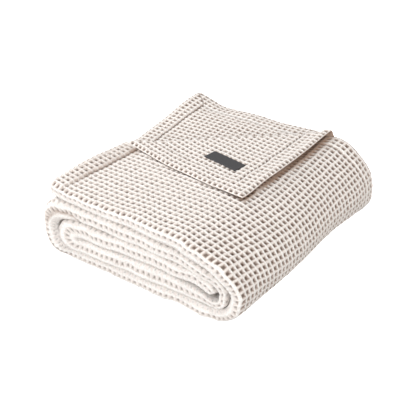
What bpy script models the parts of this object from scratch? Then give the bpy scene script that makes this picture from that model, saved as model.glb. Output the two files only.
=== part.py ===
"""A waffle weave cotton blanket, folded in six plies to a long strip and then rolled flat in five layers.

One corner of the top ply is turned back along a diagonal, so that the woven label on it faces up.
The near end shows the roll's end face, the right side shows the outer turn. Metres, +Z up, resting on z = 0.
"""

import math

import bmesh
import bpy
from mathutils import Vector
from mathutils.geometry import delaunay_2d_cdt

MM = 0.001

# ---------------------------------------------------------------------------
# Sizes, in millimetres
# ---------------------------------------------------------------------------

STRIP_THICK = 23.0          # six plies of cloth, lying a little apart
PLIES = 6
PLY_PITCH = STRIP_THICK / PLIES
CLOTH_THICK = 2.6           # the waffle cloth of one ply where it lies flat
HEM_WIDTH = 31.0            # the turned-in and stitched edge
HEM_RISE = 0.8              # how far a hem stands above its ply
HALF_LENGTH = 190.5         # half of the folded strip's width, which is the bundle's length
TOP_HEIGHT = 116.5          # top of the top layer, before it sags

# The strip's route, from its outer end at the top left, round the right side, under the bundle, round the
# left side and in. Each row is one section: the point on the strip's outer face (x, z), the point on its
# inner face (x, z), and how far the plies reach at the near end and at the far end (y).
ROUTE = [
    # name                     x_out  z_out   x_in   z_in    near    far
    ("outer end",              -171.0, 112.8, -168.5, 97.2, -183.0, 187.5),
    ("outer end, full",        -165.0, 116.0, -165.0, 96.4, -189.0, 188.5),
    ("top, left hem ends",     -140.0, 116.2, -140.0, 96.6, -193.0, 188.5),
    ("top, inside the hem",    -138.0, 116.2, -138.0, 96.6, -193.1, 188.5),
    ("top, left",              -110.0, 116.4, -110.0, 97.0, -194.0, 187.0),
    ("top, left",               -60.0, 116.5,  -60.0, 96.2, -195.0, 186.5),
    ("top, middle",               0.0, 116.5,    0.0, 93.2, -195.5, 187.0),
    ("top, right",               40.0, 116.5,   38.0, 91.6, -196.0, 189.0),
    ("top, right",               78.0, 113.6,   70.0, 88.2, -196.5, 190.0),
    ("shoulder",                108.0, 106.3,   96.0, 82.6, -196.5, 190.0),
    ("shoulder",                135.0,  94.8,  122.0, 74.6, -196.5, 189.5),
    ("shoulder",                157.0,  80.0,  140.0, 66.2, -196.0, 189.0),
    ("right turn",              170.5,  63.4,  151.0, 56.6, -195.5, 188.5),
    ("right turn",              176.0,  46.0,  154.8, 46.5, -195.5, 188.0),
    ("right turn",              174.5,  28.0,  152.8, 34.6, -196.0, 188.0),
    ("right turn",              164.5,  12.0,  145.2, 23.2, -197.0, 188.0),
    ("right turn, underside",   147.0,   1.9,  133.6, 18.2, -199.0, 188.0),
    ("underside, right",        128.0,   0.0,  120.5, 17.4, -199.0, 188.0),
    ("underside",                20.0,   0.0,   20.0, 18.3, -196.0, 187.5),
    ("underside",              -100.0,   0.0, -100.0, 17.0, -192.5, 187.0),
    ("underside, left",        -130.0,   0.0, -127.0, 16.2, -192.0, 187.0),
    ("left turn",              -149.0,   1.0, -142.0, 15.8, -192.0, 186.5),
    ("left turn",              -166.0,   7.6, -154.5, 19.6, -191.5, 186.0),
    ("left turn",              -179.5,  22.0, -164.5, 29.0, -191.5, 186.0),
    ("left turn",              -185.5,  43.0, -170.0, 43.0, -191.5, 186.0),
    ("left turn",              -183.5,  62.5, -167.0, 54.2, -191.5, 186.0),
    ("left turn",              -174.0,  78.0, -158.4, 60.0, -192.0, 186.0),
    ("left turn",              -160.0,  89.2, -146.6, 63.6, -192.5, 186.0),
    ("left turn, top",         -141.0,  94.4, -131.0, 68.0, -193.0, 186.0),
    ("second layer",           -110.0,  95.6, -109.0, 72.2, -193.5, 186.0),
    ("second layer",            -60.0,  95.0,  -60.0, 71.4, -193.5, 186.0),
    ("second layer",              0.0,  92.0,    0.0, 70.8, -193.5, 185.5),
    ("second layer",             38.0,  90.2,   38.0, 69.6, -193.5, 185.5),
    ("second layer",             69.5,  86.8,   67.0, 67.6, -193.5, 185.5),
    ("second layer",             95.2,  81.2,   90.0, 65.8, -193.5, 185.5),
    ("right inner turn",        120.8,  73.0,  109.0, 61.4, -193.5, 185.5),
    ("right inner turn",        141.0,  62.6,  125.5, 54.8, -193.0, 185.5),
    ("right inner turn",        151.4,  50.6,  137.6, 46.4, -193.0, 185.5),
    ("right inner turn",        150.8,  35.4,  137.8, 36.6, -193.0, 185.5),
    ("right inner turn",        138.0,  21.8,  126.6, 30.8, -193.5, 185.5),
    ("third layer",             118.0,  18.9,  106.0, 36.0, -194.0, 185.5),
    ("third layer",              20.0,  19.8,   20.0, 44.6, -193.5, 185.5),
    ("third layer",             -96.0,  18.6,  -90.0, 41.4, -192.5, 185.0),
    ("left inner turn",        -127.0,  18.0, -110.0, 38.8, -192.5, 185.0),
    ("left inner turn",        -144.5,  22.4, -118.0, 37.8, -192.5, 185.0),
    ("left inner turn",        -152.0,  38.0, -122.4, 39.2, -192.5, 185.0),
    ("left inner turn",        -143.0,  54.6, -118.0, 41.0, -192.5, 185.0),
    ("left inner turn",        -122.0,  62.0, -108.0, 42.2, -192.5, 185.0),
    ("inmost layer",            -96.0,  68.8,  -88.0, 44.0, -192.5, 185.0),
    ("inmost layer",              0.0,  69.4,    0.0, 46.6, -192.5, 184.5),
    ("inmost layer",             60.0,  66.6,   60.0, 45.6, -192.5, 184.5),
    ("inmost layer",             92.0,  63.8,   90.0, 43.6, -192.0, 184.0),
    ("inner end",               121.0,  53.6,  119.0, 41.2, -191.0, 183.0),
]
TOP_ROWS = ROUTE[0:12]
LEFT_HEM_ROWS = 3               # the left end's hem shows on this many rows

# Where the plies are bent between the near and the far end, so that they stay parallel.
BENDS = (-100.0, 10.0, 130.0)

# The plies of the strip in its own section, seen along the strip: the cloth runs near and far between these
# folds. Each row is one ply, counted from the strip's outer face, with where its run starts and ends (y of
# its centre line on the nominal strip).
NEAR = -HALF_LENGTH
FAR = HALF_LENGTH
PLY_RUNS = [
    # ply  from            to
    (0,    FAR,            NEAR + 11.0),
    (5,    NEAR + 11.0,    FAR - 9.0),
    (2,    FAR - 9.0,      NEAR + 11.5),
    (3,    NEAR + 11.5,    FAR - 9.5),
    (4,    FAR - 9.5,      NEAR + 11.0),
    (1,    NEAR + 11.0,    FAR),
]
# The folds that join those runs: how far past the run's end each one bulges, and its number of facets.
FOLDS = [
    # at      bulge  facets
    ("near",  11.0,  6),
    ("far",    6.5,  4),
    ("near",   2.4,  2),
    ("far",    2.4,  2),
    ("near",   6.6,  4),
]

# How much squarer than a half circle those folds are, pressed by the layers' weight (1 is round).
FOLD_ROUNDNESS = 0.72

# Unevenness of the whole bundle. Each row is a soft hump or hollow of the upper layers: its middle (x, y),
# its reach (x, y) and its height. It fades to nothing at the underside.
UNEVEN = [
    # name                        x       y     rx     ry   height
    ("left edge sags",         -190.0,   10.0,  80.0,  90.0, -10.5),
    ("far edge dips",          -112.0,  205.0,  42.0,  55.0, -9.0),
    ("far edge droops",         -20.0,  215.0,  58.0,  55.0, -6.5),
    ("far left corner lifts",  -176.0,  172.0,  30.0,  48.0,  5.5),
    ("right of the middle",      40.0,    0.0,  90.0,  90.0,  1.5),
    ("far right swells",        105.0,  190.0,  40.0,  60.0,  4.0),
]
# And of its right side. Each row draws the side in: the middle (y, z), the reach (y, z) and how far.
DRAWN_IN = [
    # name                        y       z     ry     rz   inwards
    ("waist",                    78.0,   20.0,  85.0,  60.0, 11.5),
    ("far end",                 200.0,   50.0,  45.0,  34.0, 14.0),
]

# The corner of the top ply that is turned back. Its fold runs along these points, from the left edge to the
# far edge, and the outline of the part that is turned back along the others.
FOLD_LINE = [(-166.0, -21.0), (-122.0, -3.0), (88.0, 186.0)]
FLAP_OUTLINE = [(-162.0, -28.0), (-121.0, -36.5), (-95.0, -42.0), (86.5, -62.5), (88.0, 179.0)]
FLAP_GAP = 1.0                  # air between the flap and the ply under it
FOLD_BULGE = 5.0                # how far the soft diagonal fold bulges past its line

LABEL_LONG = 65.0
LABEL_SHORT = 24.0
LABEL_THICK = 0.9
LABEL_CENTRE = (6.5, 8.0)
LABEL_TURN = -9.2               # degrees
LABEL_GAP = 0.4


# ---------------------------------------------------------------------------
# Where things lie
# ---------------------------------------------------------------------------

def smooth(value):
    value = max(0.0, min(1.0, value))
    return value * value * (3.0 - 2.0 * value)


def ply_depth(ply):
    """Depth of a ply's centre line below the strip's outer face."""
    return (ply + 0.5) * PLY_PITCH


TOP_FACE = ply_depth(0) - CLOTH_THICK / 2.0         # depth of the outer ply's outer face
TOP_BACK = ply_depth(0) + CLOTH_THICK / 2.0         # and of its inner face
SKIN = 0.46                                         # what the underside's outer face lies above z = 0


def uneven_at(x, y, z):
    """How far the uneven bundle moves a point of the even one, at one section (y): along x, and up."""
    share = max(0.0, z / TOP_HEIGHT)
    lift = 0.0
    for _name, cx, cy, rx, ry, height in UNEVEN:
        lift += height * math.exp(-((x - cx) / rx) ** 2 - ((y - cy) / ry) ** 2)
    inwards = 0.0
    for _name, cy, cz, ry, rz, amount in DRAWN_IN:
        inwards += amount * math.exp(-((y - cy) / ry) ** 2 - ((z - cz) / rz) ** 2)
    return -inwards * smooth((x - 60.0) / 110.0), lift * share ** 1.6


def uneven(x, y, z):
    """The point (x, y, z) of the even bundle, where it lies in the uneven one. It is straight between bends."""
    stations = (NEAR, *BENDS, FAR)
    k = max(j for j in range(len(stations) - 1) if j == 0 or y >= stations[j])
    share = (y - stations[k]) / (stations[k + 1] - stations[k])
    share = max(-0.2, min(1.2, share))
    first, second = uneven_at(x, stations[k], z), uneven_at(x, stations[k + 1], z)
    return (x + first[0] + (second[0] - first[0]) * share, y, z + first[1] + (second[1] - first[1]) * share)


def in_strip(row, y, depth):
    """A point of the strip's section, placed on one row of its route."""
    _name, x_out, z_out, x_in, z_in, near, far = row
    share = depth / STRIP_THICK
    if y < BENDS[0]:
        y = BENDS[0] + (y - BENDS[0]) * (near - BENDS[0]) / (NEAR - BENDS[0])
    elif y > BENDS[-1]:
        y = BENDS[-1] + (y - BENDS[-1]) * (far - BENDS[-1]) / (FAR - BENDS[-1])
    return uneven(x_out + (x_in - x_out) * share, y, z_out + (z_in - z_out) * share)


def over_top(x, y, depth):
    """Height of the top layer at (x, y), at a depth below its outer face, on the same facets as the strip."""
    rows = TOP_ROWS
    for k in range(len(rows) - 1):
        first, second = in_strip(rows[k], y, depth), in_strip(rows[k + 1], y, depth)
        if x <= second[0] or k == len(rows) - 2:
            share = max(0.0, (x - first[0]) / (second[0] - first[0]))
            return first[2] + (second[2] - first[2]) * share
    return 0.0


# ---------------------------------------------------------------------------
# Building
# ---------------------------------------------------------------------------

def make_object(name, vertices, faces, collection, material=None):
    mesh = bpy.data.meshes.new(name)
    mesh.from_pydata([Vector(v) * MM for v in vertices], [], faces)
    work = bmesh.new()
    work.from_mesh(mesh)
    bmesh.ops.recalc_face_normals(work, faces=work.faces)
    work.to_mesh(mesh)
    work.free()
    mesh.update()
    obj = bpy.data.objects.new(name, mesh)
    collection.objects.link(obj)
    if material:
        mesh.materials.append(material)
    return obj


def principled(name, colour, roughness):
    material = bpy.data.materials.new(name)
    material.use_nodes = True
    shader = material.node_tree.nodes["Principled BSDF"]
    shader.inputs["Base Color"].default_value = (*colour, 1.0)
    shader.inputs["Roughness"].default_value = roughness
    return material


def tube_faces(vertices, rows, ring):
    """The sides of a loft. Every face is split on the diagonal that climbs most along one fixed direction, so
    that sheets that lie on each other stay parallel where the bundle is twisted."""
    climb = [x + y + 0.7 * z for x, y, z in vertices]
    faces = []
    for row in range(rows - 1):
        for k in range(ring):
            a, b = row * ring + k, row * ring + (k + 1) % ring
            c, d = b + ring, a + ring
            if abs(climb[c] - climb[a]) >= abs(climb[d] - climb[b]):
                faces += [(a, b, c), (a, c, d)]
            else:
                faces += [(a, b, d), (b, c, d)]
    return faces


def strip_section():
    """The closed outline of the cloth in the strip's own section, as (y, depth, whether on the outer face)."""
    centre = []
    outer_count = 0
    for index, (ply, start, stop) in enumerate(PLY_RUNS):
        depth = ply_depth(ply)
        between = list(BENDS) if stop > start else list(BENDS[::-1])
        for y in (start, *between, stop):
            centre.append((y, depth))
        if index == 0:
            outer_count = len(centre)
        if index < len(FOLDS):
            side, bulge, facets = FOLDS[index]
            sign = -1.0 if side == "near" else 1.0
            following = ply_depth(PLY_RUNS[index + 1][0])
            middle, half = (depth + following) / 2.0, (depth - following) / 2.0
            for step in range(1, facets):
                angle = math.pi * step / facets
                out, up = math.sin(angle) ** FOLD_ROUNDNESS, math.cos(angle)
                up = math.copysign(abs(up) ** FOLD_ROUNDNESS, up) if abs(up) > 1e-9 else 0.0
                centre.append((stop + sign * bulge * out, middle + half * up))
    outer, inner = [], []
    for index, point in enumerate(centre):
        before, after = centre[max(0, index - 1)], centre[min(len(centre) - 1, index + 1)]
        first = Vector((point[0] - before[0], point[1] - before[1]))
        second = Vector((after[0] - point[0], after[1] - point[1]))
        first = first.normalized() if first.length > 1e-6 else second.normalized()
        second = second.normalized() if second.length > 1e-6 else first
        along = (first + second).normalized()
        across = Vector((-along[1], along[0]))
        reach = CLOTH_THICK / 2.0 / max(0.8, along.dot(second))
        outer.append((point[0] + across[0] * reach, point[1] + across[1] * reach, index < outer_count))
        inner.append((point[0] - across[0] * reach, point[1] - across[1] * reach, False))
    return outer + inner[::-1]


def strip():
    section = strip_section()
    ring = len(section)
    vertices = []
    for number, row in enumerate(ROUTE):
        for y, depth, on_outer_face in section:
            rise = HEM_RISE if on_outer_face and number < LEFT_HEM_ROWS else 0.0
            x, y, z = in_strip(row, y, depth - rise)
            z -= SKIN
            vertices.append((x, y, z if z > 0.12 else 0.0))
    faces = tube_faces(vertices, len(ROUTE), ring)
    edges = [(k, (k + 1) % ring) for k in range(ring)]
    caps = delaunay_2d_cdt([Vector(point[:2]) for point in section], edges, [], 1, 1e-6)[2]
    last = (len(ROUTE) - 1) * ring
    for cap in caps:
        faces.append(tuple(cap))
        faces.append(tuple(last + k for k in reversed(cap)))
    return vertices, faces


def diagonal():
    """The fold's points, and the direction from it towards the corner that was turned back."""
    points = [Vector(p) for p in FOLD_LINE]
    along = (points[-1] - points[1]).normalized()
    return points, along, Vector((-along[1], along[0]))


def ply_cutter():
    """A slab that holds the whole outer ply of the top layer, and nothing of the ply under it."""
    rows = [(row, 0.0) for row in TOP_ROWS[:10]]
    rows.insert(0, (TOP_ROWS[0], -14.0))
    stations = (-150.0, *BENDS, FAR, FAR + 14.0)
    vertices = []
    for row, beyond in rows:
        low = [in_strip(row, y, (TOP_BACK + ply_depth(1) - CLOTH_THICK / 2.0) / 2.0) for y in stations]
        high = [in_strip(row, y, -12.0) for y in stations]
        for x, y, z in low + high[::-1]:
            vertices.append((x + beyond, y, z - SKIN))
    ring = len(stations) * 2
    faces = tube_faces(vertices, len(rows), ring)
    faces.append(tuple(range(ring)))
    faces.append(tuple((len(rows) - 1) * ring + k for k in reversed(range(ring))))
    return vertices, faces


def corner_prism():
    """The far left corner, beyond the diagonal fold."""
    points, along, away = diagonal()
    first, last = points[0] - Vector((40.0, 40.0 * 0.4)), points[-1] + along * 40.0
    outline = [first, *points, last, last + away * 260.0, first + away * 200.0]
    count = len(outline)
    vertices = [(p[0], p[1], z) for z in (60.0, 150.0) for p in outline]
    faces = [tuple(range(count)), tuple(reversed(range(count, 2 * count)))]
    faces += [(k, (k + 1) % count, (k + 1) % count + count, k + count) for k in range(count)]
    return vertices, faces


def flap_ground(x, y):
    """What the turned-back flap lies on: the top ply, bridged where it falls away at the right."""
    ground = max(over_top(x + dx, y + dy, TOP_FACE) for dx in (-12.0, 0.0, 12.0) for dy in (-12.0, 0.0, 12.0))
    beyond = max(0.0, x - 55.0)
    return ground + 0.0024 * beyond * beyond + 4.5 * smooth((y - 90.0) / 90.0) * smooth((x - 50.0) / 45.0)


def flap():
    """The turned-back corner: a leg inside the top ply, a round diagonal fold, and the flap that lies on top."""
    points, along, away = diagonal()
    outline = [Vector(p) for p in FLAP_OUTLINE]

    def reach_at(base):
        best = 0.0
        for first, second in zip(outline, outline[1:]):
            run, down, between = second - first, -away, base - first
            grid = run[0] * down[1] - run[1] * down[0]
            if abs(grid) < 1e-9:
                continue
            t = (between[0] * down[1] - between[1] * down[0]) / grid
            d = (between[0] * run[1] - between[1] * run[0]) / grid
            if -0.001 <= t <= 1.001 and d > 0.0:
                best = max(best, d)
        return best

    # the sections stand where the fold passes from one facet of the top ply to the next, and at the free corner
    corner = outline[3]
    bases = [(points[0][0], points[0]), (points[1][0], points[1]), (points[2][0], points[2])]
    for first, second in zip(points, points[1:]):
        shares = [(row[1] - first[0]) / (second[0] - first[0]) for row in TOP_ROWS]
        shares += [(y - first[1]) / (second[1] - first[1]) for y in (*BENDS, 90.0, 160.0)]
        shares.append((corner - first).dot(second - first) / (second - first).length_squared)
        bases += [((first + (second - first) * t)[0], first + (second - first) * t) for t in shares if 0.0 < t < 1.0]
    bases.sort(key=lambda item: item[0])
    kept = [bases[0]]
    for item in bases[1:-1]:
        if item[0] - kept[-1][0] > 5.0 and bases[-1][0] - item[0] > 5.0:
            kept.append(item)
    places = [item[1] for item in kept] + [bases[-1][1]]

    low_over, low_under = -0.28, -CLOTH_THICK + 0.28
    vertices = []
    count = 0
    for base in places:
        reach = max(8.0, reach_at(base))
        hem = min(reach - 4.0, HEM_WIDTH * 1.4)
        inner, outer = [(7.0, low_over), (1.0, low_over)], [(7.0, low_under), (1.0, low_under)]
        mid_in, half_in = (FLAP_GAP + low_over) / 2.0, (FLAP_GAP - low_over) / 2.0
        mid_out, half_out = (FLAP_GAP + CLOTH_THICK + low_under) / 2.0, (FLAP_GAP + CLOTH_THICK - low_under) / 2.0
        for step in range(1, 6):
            angle = math.pi * step / 6.0
            inner.append((1.0 - (FOLD_BULGE - CLOTH_THICK) * math.sin(angle), mid_in - half_in * math.cos(angle)))
            outer.append((1.0 - FOLD_BULGE * math.sin(angle), mid_out - half_out * math.cos(angle)))
        free = reach - hem
        for distance, rise in ((1.0, 0.0), (1.0 + free / 3.0, 0.0), (1.0 + free * 2.0 / 3.0, 0.0),
                               (free + 1.5, 0.0), (free + 2.5, HEM_RISE), (reach - 0.8, HEM_RISE)):
            inner.append((distance, FLAP_GAP))
            outer.append((distance, FLAP_GAP + CLOTH_THICK + rise))
        inner.append((reach, FLAP_GAP + 0.5))
        outer.append((reach, FLAP_GAP + CLOTH_THICK))
        ring = inner + outer[::-1]
        count = len(ring)
        for index, (distance, height) in enumerate(ring):
            x, y = base - away * distance
            turned = 6 < index < count - 7
            ground = flap_ground(x, y) if turned else over_top(x, y, TOP_FACE)
            vertices.append((x, y, ground + height - SKIN))
    faces = tube_faces(vertices, len(places), count)
    faces.append(tuple(range(count)))
    faces.append(tuple((len(places) - 1) * count + k for k in reversed(range(count))))
    return vertices, faces


def label_sheet():
    """The label's underside, as a grid that follows the flap. Its thickness is added on top."""
    turn = math.radians(LABEL_TURN)
    columns, rows = 6, 2
    vertices, faces = [], []
    for c in range(columns + 1):
        for r in range(rows + 1):
            u = (c / columns - 0.5) * LABEL_LONG
            v = (r / rows - 0.5) * LABEL_SHORT
            x = LABEL_CENTRE[0] + u * math.cos(turn) - v * math.sin(turn)
            y = LABEL_CENTRE[1] + u * math.sin(turn) + v * math.cos(turn)
            ground = max(flap_ground(x + d, y) for d in (-8.0, 0.0, 8.0))
            vertices.append((x, y, ground + FLAP_GAP + CLOTH_THICK + LABEL_GAP - SKIN))
    for c in range(columns):
        for r in range(rows):
            a = c * (rows + 1) + r
            faces.append((a, a + rows + 1, a + rows + 2, a + 1))
    return vertices, faces


def boolean(target, name, operation, other):
    modifier = target.modifiers.new(name, "BOOLEAN")
    modifier.operation = operation
    modifier.solver = "EXACT"
    modifier.object = other


def main():
    for obj in list(bpy.data.objects):
        bpy.data.objects.remove(obj, do_unlink=True)
    scene = bpy.context.scene
    parts = bpy.data.collections.new("waffle_blanket")
    cutters = bpy.data.collections.new("cutters")
    scene.collection.children.link(parts)
    scene.collection.children.link(cutters)

    cotton = principled("cotton", (0.80, 0.76, 0.71), 0.95)
    woven = principled("label_weave", (0.06, 0.06, 0.065), 0.85)

    blanket = make_object("blanket", *strip(), parts, cotton)
    prism = make_object("far_left_corner", *corner_prism(), cutters)
    slab = make_object("outer_ply", *ply_cutter(), cutters)
    turned = make_object("corner_turned_back", *flap(), cutters)
    for cutter in (prism, slab, turned):
        cutter.display_type = "WIRE"
        cutter.hide_render = True

    boolean(slab, "corner_only", "INTERSECT", prism)
    boolean(blanket, "corner_off", "DIFFERENCE", slab)
    boolean(blanket, "corner_on", "UNION", turned)

    label = make_object("label", *label_sheet(), parts, woven)
    thick = label.modifiers.new("thickness", "SOLIDIFY")
    thick.thickness = LABEL_THICK * MM
    thick.offset = 1.0

    # the origin lies under the middle of the bundle
    bpy.context.view_layer.update()
    graph = bpy.context.evaluated_depsgraph_get()
    low, high = Vector((1e9, 1e9, 1e9)), Vector((-1e9, -1e9, -1e9))
    for obj in parts.objects:
        shape = obj.evaluated_get(graph).to_mesh()
        for vertex in shape.vertices:
            for axis in range(3):
                low[axis] = min(low[axis], vertex.co[axis])
                high[axis] = max(high[axis], vertex.co[axis])
        obj.evaluated_get(graph).to_mesh_clear()
    shift = Vector((-(low[0] + high[0]) / 2.0, -(low[1] + high[1]) / 2.0, 0.0))
    for obj in list(parts.objects) + list(cutters.objects):
        for vertex in obj.data.vertices:
            vertex.co += shift
        obj.data.update()
    print("size mm", [round((high[a] - low[a]) / MM, 2) for a in range(3)],
          "low", round(low[2] / MM, 3), "shift mm", [round(s / MM, 3) for s in shift])


main()
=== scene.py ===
"""The looks of a folded waffle weave cotton blanket: one thin sheet, folded in six plies and rolled in five layers.

The weave's ribs and pits are real relief on every face that shows. Sizes are in millimetres until a mesh is made.
"""

import math

import bmesh
import bpy
import numpy as np
from mathutils import Matrix, Vector


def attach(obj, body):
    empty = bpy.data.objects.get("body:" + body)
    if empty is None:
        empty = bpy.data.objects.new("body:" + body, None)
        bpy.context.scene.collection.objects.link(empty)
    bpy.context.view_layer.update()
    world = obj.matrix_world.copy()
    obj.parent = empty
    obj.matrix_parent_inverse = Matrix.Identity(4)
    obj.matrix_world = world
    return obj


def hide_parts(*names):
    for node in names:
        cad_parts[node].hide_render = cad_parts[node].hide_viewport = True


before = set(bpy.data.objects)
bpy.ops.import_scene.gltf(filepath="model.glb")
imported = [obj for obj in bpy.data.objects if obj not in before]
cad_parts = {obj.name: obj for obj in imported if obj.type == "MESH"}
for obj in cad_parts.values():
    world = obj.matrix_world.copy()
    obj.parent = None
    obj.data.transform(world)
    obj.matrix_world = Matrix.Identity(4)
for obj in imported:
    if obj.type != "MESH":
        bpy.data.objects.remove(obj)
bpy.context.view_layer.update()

MM = 0.001

# ---------------------------------------------------------------------------
# Sizes
# ---------------------------------------------------------------------------

STRIP_THICK = 23.0
PLIES = 6
PLY_PITCH = STRIP_THICK / PLIES
CLOTH_THICK = 2.6
HALF_LENGTH = 190.5
TOP_HEIGHT = 116.5
NEAR, FAR = -HALF_LENGTH, HALF_LENGTH
BEND_NEAR, BEND_FAR = -100.0, 130.0
SKIN = 0.46
SHIFT = (4.831, 5.223)          # from the sizes below to the frame

CELL_ALONG, CELL_ACROSS = 9.7, 9.6      # one square of the waffle, along the strip and across it
SUB = 4                         # quads along a square's side: a rib's top, a wall, the pit's floor, a wall
SUB_AT = (0.0, 0.25, 0.50, 0.75)
RIB_HALF = 0.125                # half a rib's top, in squares
RIB_UP = 1.1
PIT_DOWN = 2.1
HEM_CELLS = 3.25                # from an edge to the seam of its hem
HEM_RISE, SEAM_DEEP = 1.2, 1.2

# The strip's route, one row for each section: outer face (x, z), inner face (x, z), reach near and far (y).
ROUTE = np.array([
    (-176.0, 113.8, -172.0, 95.8, -180.0, 187.5),
    (-166.0, 116.6, -166.0, 95.8, -186.5, 188.5),
    (-140.0, 116.2, -140.0, 96.6, -192.0, 188.5),
    (-110.0, 116.4, -110.0, 97.0, -194.0, 187.0),
    (-60.0, 116.5, -60.0, 96.0, -195.0, 186.5),
    (0.0, 116.5, 0.0, 93.0, -195.5, 187.0),
    (40.0, 116.5, 38.0, 91.6, -196.0, 189.0),
    (78.0, 113.6, 70.0, 88.2, -196.5, 190.0),
    (108.0, 106.3, 96.0, 82.6, -196.5, 190.0),
    (135.0, 94.8, 122.0, 74.6, -196.5, 189.5),
    (157.0, 80.0, 140.0, 66.2, -196.0, 189.0),
    (170.5, 63.4, 151.0, 56.6, -195.5, 188.5),
    (175.5, 46.5, 154.8, 46.5, -195.5, 188.0),
    (173.0, 29.0, 152.8, 34.6, -195.5, 186.5),
    (161.5, 13.4, 145.2, 23.2, -195.5, 185.0),
    (143.5, 2.4, 133.0, 18.2, -195.5, 184.5),
    (126.0, 0.0, 120.0, 17.4, -195.0, 184.5),
    (20.0, 0.0, 20.0, 18.6, -192.0, 186.0),
    (-100.0, 0.0, -100.0, 17.0, -188.0, 186.0),
    (-130.0, 0.0, -127.0, 16.2, -188.0, 186.0),
    (-152.0, 0.8, -142.0, 15.8, -190.5, 186.0),
    (-171.0, 7.8, -150.5, 20.6, -192.5, 186.0),
    (-182.0, 22.0, -157.5, 29.6, -192.5, 186.0),
    (-186.5, 43.0, -160.0, 42.4, -191.5, 186.0),
    (-185.0, 64.0, -157.0, 52.6, -191.5, 186.0),
    (-178.5, 79.8, -151.0, 60.4, -192.5, 186.0),
    (-165.0, 90.8, -142.5, 65.0, -193.0, 186.0),
    (-142.0, 94.8, -130.0, 68.6, -193.0, 186.0),
    (-110.0, 96.2, -109.0, 71.8, -193.5, 186.0),
    (-60.0, 95.6, -60.0, 71.2, -193.5, 186.0),
    (0.0, 92.6, 0.0, 70.6, -193.5, 185.5),
    (38.0, 90.8, 38.0, 69.4, -193.5, 185.5),
    (69.5, 86.8, 67.0, 67.6, -193.5, 185.5),
    (95.2, 81.2, 90.0, 65.8, -193.5, 185.5),
    (120.8, 73.0, 109.0, 61.4, -193.5, 185.5),
    (141.0, 62.6, 125.5, 54.8, -193.0, 185.5),
    (151.4, 50.6, 137.6, 46.4, -193.0, 185.5),
    (150.8, 35.4, 137.8, 36.6, -193.0, 185.5),
    (138.0, 21.8, 126.6, 30.8, -193.5, 185.5),
    (118.0, 18.9, 106.0, 36.0, -194.0, 185.5),
    (20.0, 19.2, 20.0, 45.2, -193.5, 185.5),
    (-96.0, 18.0, -90.0, 42.4, -192.5, 185.0),
    (-127.0, 17.4, -110.0, 40.8, -192.5, 185.0),
    (-147.0, 22.6, -116.0, 40.2, -192.5, 185.0),
    (-155.5, 39.0, -118.4, 40.9, -192.5, 185.0),
    (-149.0, 59.4, -116.0, 41.6, -192.5, 185.0),
    (-130.0, 67.4, -108.0, 42.4, -192.5, 185.0),
    (-96.0, 71.0, -88.0, 43.2, -192.5, 185.0),
    (0.0, 70.0, 0.0, 46.2, -192.5, 184.5),
    (60.0, 67.2, 60.0, 45.4, -192.5, 184.5),
    (94.0, 64.2, 90.0, 43.2, -192.0, 184.0),
    (120.0, 56.6, 112.0, 40.6, -191.5, 183.5),
    (133.5, 46.0, 121.0, 38.2, -191.0, 183.0),
])
OUTER_TURN_ENDS = 27            # the row after which the strip runs inside the bundle
BOTTOM_ROWS = (16, 19)          # the rows between which it lies on the ground
IN_TURNS = [(7, 16), (19, 28), (33, 39), (41, 47)]

# Plies from the strip's outer face, with the run of each (y of its centre line), then the folds between them.
PLY_RUNS = [(0, FAR, NEAR + 11.0), (5, NEAR + 11.0, FAR - 9.0), (2, FAR - 9.0, NEAR + 11.5),
            (3, NEAR + 11.5, FAR - 9.5), (4, FAR - 9.5, NEAR + 11.0), (1, NEAR + 11.0, FAR)]
FOLDS = [("near", 11.0), ("far", 6.5), ("near", 2.4), ("far", 2.4), ("near", 6.6)]
FOLD_ROUNDNESS, FOLD_PRESSED = 0.72, 0.20       # a free fold, and one that lies against another layer
FOLD_SLOPED = 1.0                               # and one that slopes into the hollow of a turn

UNEVEN = [
    # x       y      rx    ry    height
    (-190.0, 55.0, 80.0, 55.0, -5.0),
    (-172.0, 6.0, 42.0, 21.0, -4.5),
    (-166.0, -98.0, 22.0, 46.0, 4.6),
    (-112.0, 205.0, 42.0, 55.0, -10.5),
    (-20.0, 215.0, 58.0, 55.0, -6.5),
    (-176.0, 165.0, 30.0, 46.0, 5.2),
    (40.0, 0.0, 90.0, 90.0, 1.5),
    (110.0, 190.0, 40.0, 60.0, 5.2),
]
DRAWN_IN = [(78.0, 20.0, 85.0, 60.0, 9.0), (200.0, 50.0, 45.0, 34.0, 11.0)]

FOLD_LINE = [(-154.0, -27.0), (-122.0, -3.0), (88.0, 182.0)]
# The turned-back corner's two hemmed edges, both from its free corner.
FLAP_FRONT = [(86.6, -62.0), (37.5, -61.5), (-20.4, -54.5), (-58.7, -49.5), (-95.5, -40.5), (-121.0, -33.5),
              (-139.0, -28.5), (-170.0, -25.0)]
# How far the strip's end, and the weave with it, is drawn to the right: at y, by this much.
DRIFT = [(-190.0, 0.0), (-150.0, 3.5), (-92.0, 11.0), (-40.0, 14.5), (0.0, 14.0), (40.0, 11.0), (80.0, 8.0),
         (130.0, 5.0), (190.0, 2.0)]
FLAP_RIGHT = [(86.6, -62.0), (87.4, -13.5), (88.8, 38.7), (88.3, 113.7), (87.5, 175.0), (87.5, 215.0)]
FLAP_GAP = 1.0

LABEL_LONG, LABEL_SHORT, LABEL_THICK = 65.0, 24.0, 0.9
LABEL_CENTRE, LABEL_TURN, LABEL_GAP = (6.5, 8.0), -9.2, 0.4


# ---------------------------------------------------------------------------
# Curves and unevenness
# ---------------------------------------------------------------------------

def smooth(value):
    value = np.clip(value, 0.0, 1.0)
    return value * value * (3.0 - 2.0 * value)


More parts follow.
